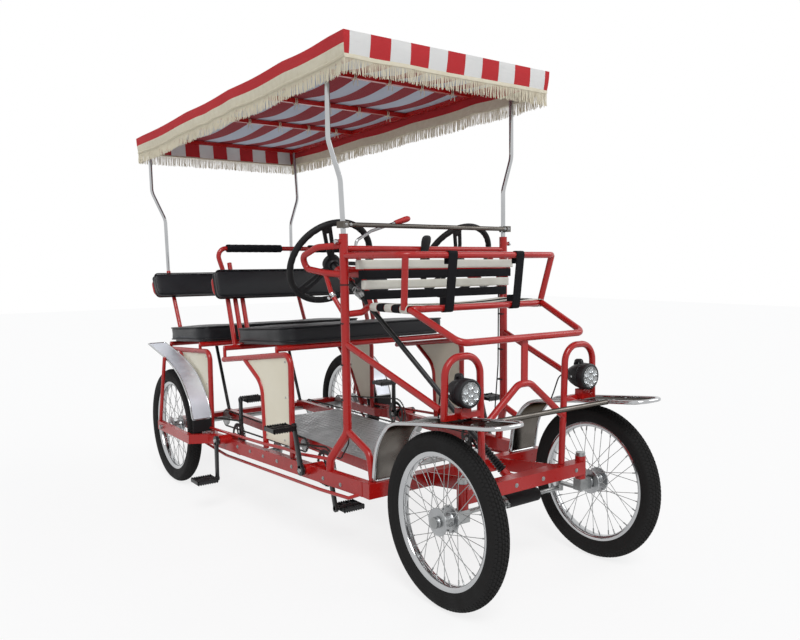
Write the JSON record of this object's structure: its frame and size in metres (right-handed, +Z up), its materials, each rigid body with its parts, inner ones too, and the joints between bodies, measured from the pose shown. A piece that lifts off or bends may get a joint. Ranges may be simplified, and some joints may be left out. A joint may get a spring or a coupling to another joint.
{
  "type": "surrey bike",
  "caption": "Pedal surrey with bench seats, a child bench over the nose, side by side steering wheels, chrome fenders and a striped fringed canopy.",
  "frame": {"origin": "centre of the footprint at floor height, under the middle of the whole length", "axes": "+Z up, +Y towards the rear, +X towards the vehicle's left"},
  "size_m": [1.219, 2.6131, 1.735],
  "materials": {
    "painted_red": "gloss",
    "painted_black": "satin",
    "painted_cream": "satin",
    "bright_steel": "polished",
    "plain_steel": "brushed",
    "checker_plate": "satin",
    "tyre_rubber": "matte",
    "black_rubber": "matte",
    "bench_vinyl": "satin",
    "webbing_cloth": "matte",
    "canopy_cloth": "matte",
    "black_plastic": "satin"
  },
  "bodies": {
    "frame": {"backrest_front": "bench_vinyl", "backrest_rear": "bench_vinyl", "bench_frame_front": "painted_red", "bench_frame_rear": "painted_red", "canopy_bars": "painted_red", "canopy_cover": "canopy_cloth", "canopy_poles": "bright_steel", "centre_beams": "painted_red", "centre_hoop": "painted_red", "child_bench_frame": "painted_red", "child_bench_webbing": "webbing_cloth", "cross_members": "painted_red", "dash_frame": "painted_red", "drive_chains": "plain_steel", "elbow_guards": "painted_red", "fender_stays": "painted_red", "fender_strip": "bright_steel", "floor_plate": "checker_plate", "front_crossbeam": "painted_red", "front_fenders": "bright_steel", "grab_foam": "black_rubber", "grab_rail": "painted_red", "hand_levers": "bright_steel", "headlamps": "black_plastic", "jackshafts": "plain_steel", "lamp_hoops": "painted_red", "lower_guards": "painted_red", "mudflaps": "black_rubber", "posts": "painted_red", "rear_axle": "plain_steel", "rear_braces": "painted_black", "rear_fenders": "bright_steel", "rear_forks": "painted_red", "seat_cushion_front": "bench_vinyl", "seat_cushion_rear": "bench_vinyl", "side_panels": "painted_cream", "side_rails": "painted_red", "step_rails": "painted_red", "wind_bar": "bright_steel"},
    "knuckle_right": {"knuckle_right": "plain_steel"},
    "knuckle_left": {"knuckle_left": "plain_steel"},
    "tie_rod": {"tie_rod": "plain_steel", "damper": "black_rubber"},
    "steering_wheel_right": {"steering_wheel_right": "black_plastic"},
    "steering_wheel_left": {"steering_wheel_left": "black_plastic"},
    "steering_shaft": {"steering_shaft": "painted_black"},
    "wheel_front_right": {"tyre_front_right": "tyre_rubber", "wire_wheel_front_right": "plain_steel"},
    "wheel_front_left": {"tyre_front_left": "tyre_rubber", "wire_wheel_front_left": "plain_steel"},
    "wheel_rear_right": {"tyre_rear_right": "tyre_rubber", "wire_wheel_rear_right": "plain_steel"},
    "wheel_rear_left": {"tyre_rear_left": "tyre_rubber", "wire_wheel_rear_left": "plain_steel"},
    "crankset_front_right": {"crankset_front_right": "painted_black"},
    "crankset_front_left": {"crankset_front_left": "painted_black"},
    "crankset_rear_right": {"crankset_rear_right": "painted_black"},
    "crankset_rear_left": {"crankset_rear_left": "painted_black"}
  },
  "joints": [
    {"name": "steer_right", "type": "hinge", "parent": "frame", "child": "knuckle_right", "pos_m": [-0.265, -1.0405, 0.265], "axis": [0, 0, 1], "range_deg": [-30, 30]},
    {"name": "steer_left", "type": "hinge", "parent": "frame", "child": "knuckle_left", "pos_m": [0.265, -1.0405, 0.265], "axis": [0, 0, 1], "range_deg": [-30, 30]},
    {"name": "tie_rod_swing", "type": "hinge", "parent": "knuckle_right", "child": "tie_rod", "pos_m": [-0.265, -0.9485, 0.231], "axis": [0, 0, 1], "range_deg": [-30, 30]},
    {"name": "wheel_turn_right", "type": "hinge", "parent": "frame", "child": "steering_wheel_right", "pos_m": [-0.297, -0.3505, 1.026], "axis": [0, 0.866, 0.5], "range_deg": [-45, 45]},
    {"name": "wheel_turn_left", "type": "hinge", "parent": "frame", "child": "steering_wheel_left", "pos_m": [0.297, -0.3505, 1.026], "axis": [0, 0.866, 0.5], "range_deg": [-45, 45]},
    {"name": "shaft_turn", "type": "hinge", "parent": "frame", "child": "steering_shaft", "pos_m": [-0.04, -0.9785, 0.352], "axis": [-0.3326, 0.5842, 0.7403], "range_deg": [-45, 45]},
    {"name": "spin_front_right", "type": "hinge", "parent": "knuckle_right", "child": "wheel_front_right", "pos_m": [-0.338, -1.0405, 0.265], "axis": [1, 0, 0], "continuous": true},
    {"name": "spin_front_left", "type": "hinge", "parent": "knuckle_left", "child": "wheel_front_left", "pos_m": [0.338, -1.0405, 0.265], "axis": [1, 0, 0], "continuous": true},
    {"name": "spin_rear_right", "type": "hinge", "parent": "frame", "child": "wheel_rear_right", "pos_m": [-0.486, 0.7745, 0.265], "axis": [1, 0, 0], "continuous": true},
    {"name": "spin_rear_left", "type": "hinge", "parent": "frame", "child": "wheel_rear_left", "pos_m": [0.486, 0.7745, 0.265], "axis": [1, 0, 0], "continuous": true},
    {"name": "crank_front_right", "type": "hinge", "parent": "frame", "child": "crankset_front_right", "pos_m": [-0.3935, -0.3785, 0.29], "axis": [1, 0, 0], "continuous": true},
    {"name": "crank_front_left", "type": "hinge", "parent": "frame", "child": "crankset_front_left", "pos_m": [0.3935, -0.3785, 0.29], "axis": [1, 0, 0], "continuous": true},
    {"name": "crank_rear_right", "type": "hinge", "parent": "frame", "child": "crankset_rear_right", "pos_m": [-0.4535, 0.2375, 0.292], "axis": [1, 0, 0], "continuous": true},
    {"name": "crank_rear_left", "type": "hinge", "parent": "frame", "child": "crankset_rear_left", "pos_m": [0.4535, 0.2375, 0.292], "axis": [1, 0, 0], "continuous": true}
  ],
  "couplings": [
    {"joint": "steer_left", "follows": "steer_right", "ratio": 1},
    {"joint": "tie_rod_swing", "follows": "steer_right", "ratio": -1},
    {"joint": "wheel_turn_right", "follows": "steer_right", "ratio": 1.5},
    {"joint": "wheel_turn_left", "follows": "steer_right", "ratio": 1.5},
    {"joint": "shaft_turn", "follows": "steer_right", "ratio": 1.5}
  ]
}
